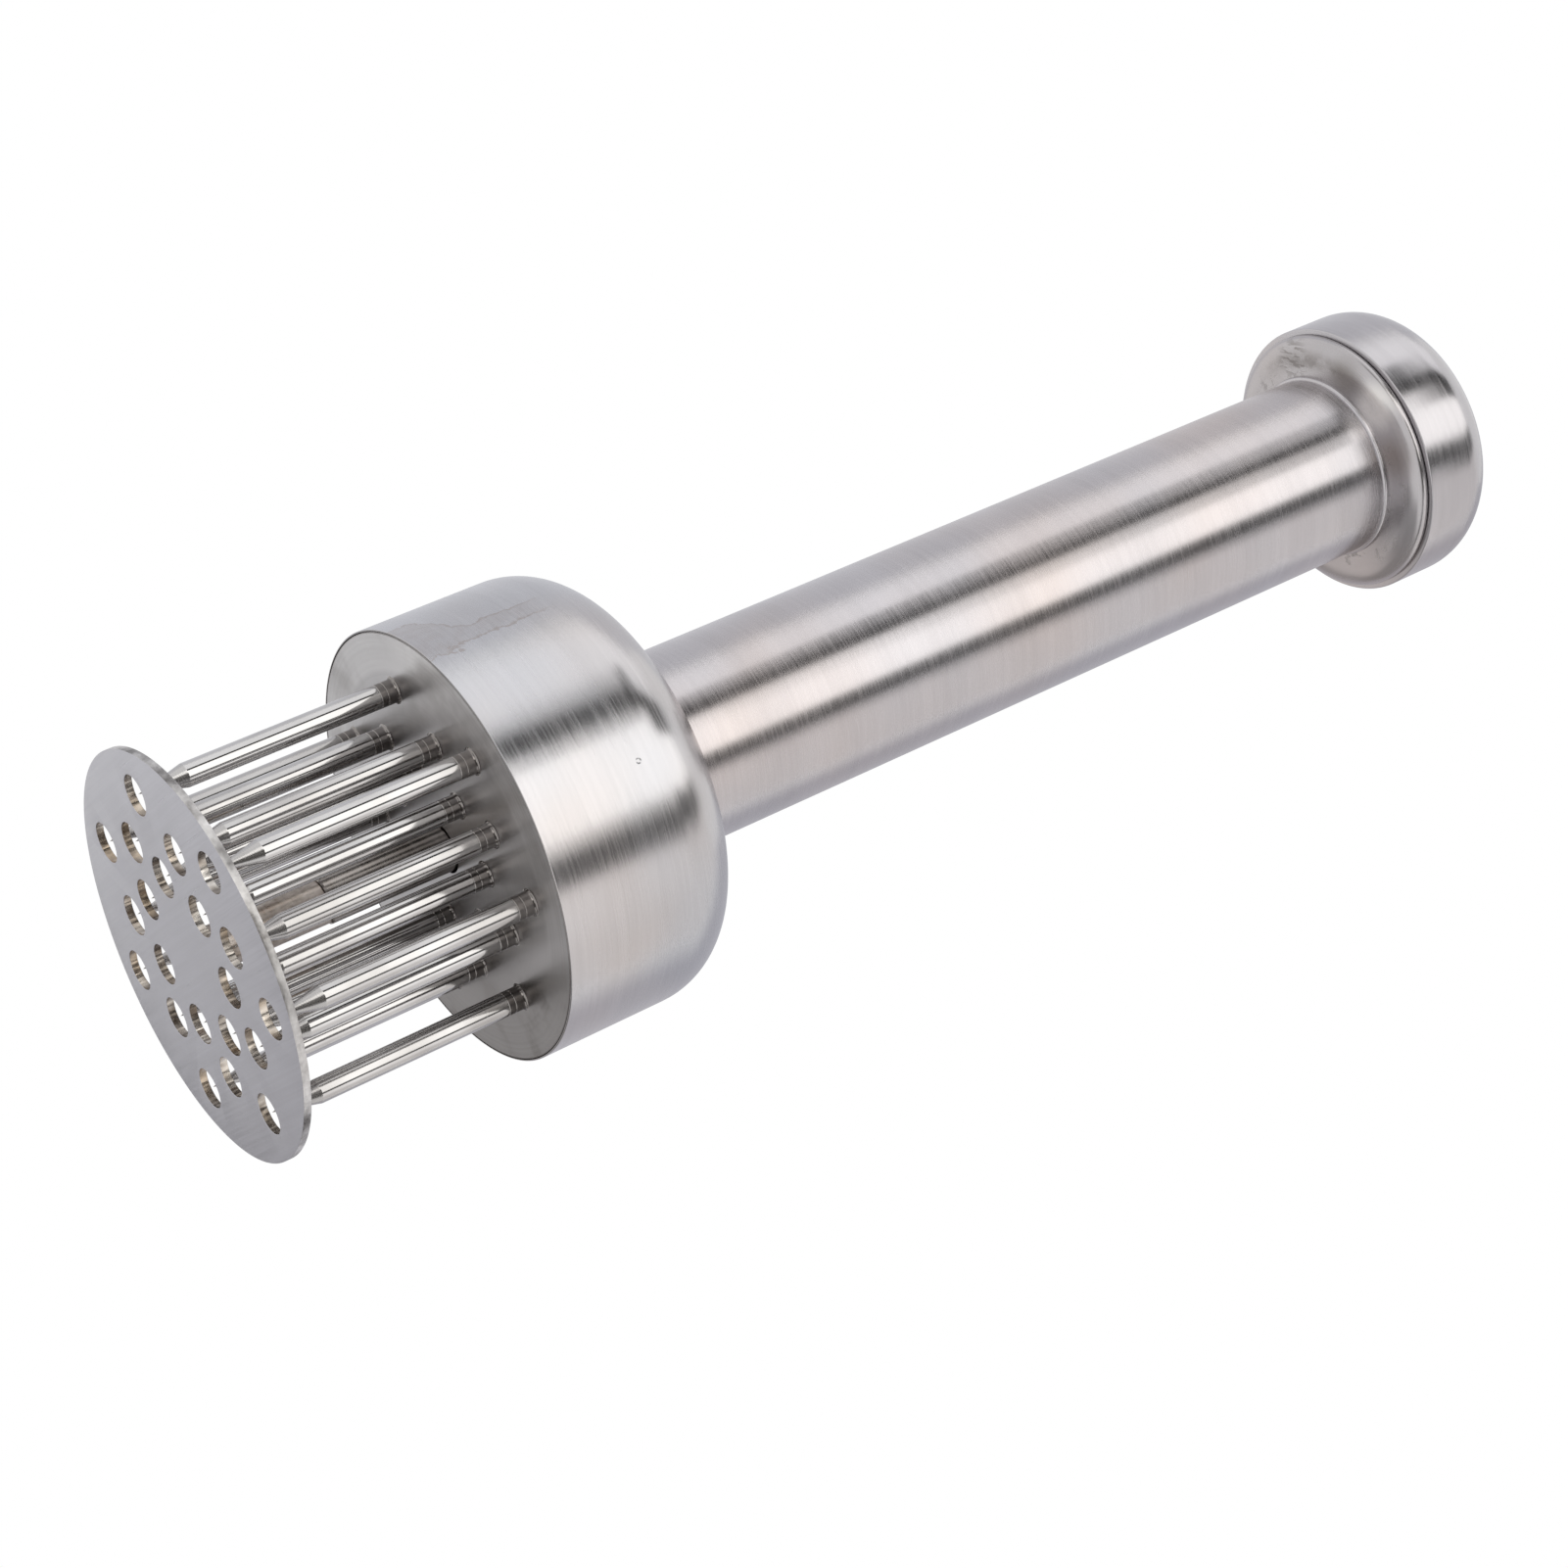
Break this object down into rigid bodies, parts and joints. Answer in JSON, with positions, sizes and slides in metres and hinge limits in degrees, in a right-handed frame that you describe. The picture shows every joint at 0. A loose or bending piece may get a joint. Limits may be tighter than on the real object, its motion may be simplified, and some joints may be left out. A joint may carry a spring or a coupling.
{
  "type": "meat tenderizer",
  "caption": "Hand tool that pierces meat: fixed steel needles in a round head on a tube handle, behind a perforated guard plate on a sprung shaft that slides back when pressed.",
  "frame": {"origin": "centre of the guard plate's outer face, on the tool's axis, the lowest point of the part", "axes": "+Z along the tool's axis from the guard plate to the pommel cap; +X towards the first needle of the inner and outer rings"},
  "size_m": [0.056, 0.056, 0.1947],
  "materials": {
    "brushed_steel": "stainless steel, satin, brushed round the axis",
    "plate_steel": "stainless sheet, fine straight grain, ground edge",
    "face_steel": "stainless steel, turned face, half bright",
    "needle_steel": "stainless steel, polished, ground points",
    "turned_steel": "stainless rod, as turned",
    "inner_steel": "stainless steel, as machined or as drawn"
  },
  "bodies": {
    "head": {"needle_disc": "face_steel", "bell": "brushed_steel", "guide_bush": "inner_steel", "handle_tube": "brushed_steel", "return_spring": "inner_steel", "end_flange": "brushed_steel", "spring_retainer": "inner_steel", "pommel_cap": "brushed_steel", "needle_inner_1": "needle_steel", "needle_inner_2": "needle_steel", "needle_inner_3": "needle_steel", "needle_inner_4": "needle_steel", "needle_inner_5": "needle_steel", "needle_inner_6": "needle_steel", "needle_inner_7": "needle_steel", "needle_middle_1": "needle_steel", "needle_middle_2": "needle_steel", "needle_middle_3": "needle_steel", "needle_middle_4": "needle_steel", "needle_middle_5": "needle_steel", "needle_middle_6": "needle_steel", "needle_middle_7": "needle_steel", "needle_outer_1": "needle_steel", "needle_outer_2": "needle_steel", "needle_outer_3": "needle_steel", "needle_outer_4": "needle_steel", "needle_outer_5": "needle_steel", "needle_outer_6": "needle_steel", "needle_outer_7": "needle_steel"},
    "guard": {"guard_plate": "plate_steel", "guard_stud": "turned_steel", "plunger_shaft": "turned_steel", "spring_piston": "inner_steel", "piston_nut": "inner_steel"}
  },
  "joints": [
    {"name": "guard_slide", "type": "slide", "parent": "head", "child": "guard", "axis": [0, 0, 1], "range_m": [0, 0.033], "stiffness_N_per_m": 543, "springref_m": -0.02, "deforming": ["return_spring"]}
  ]
}
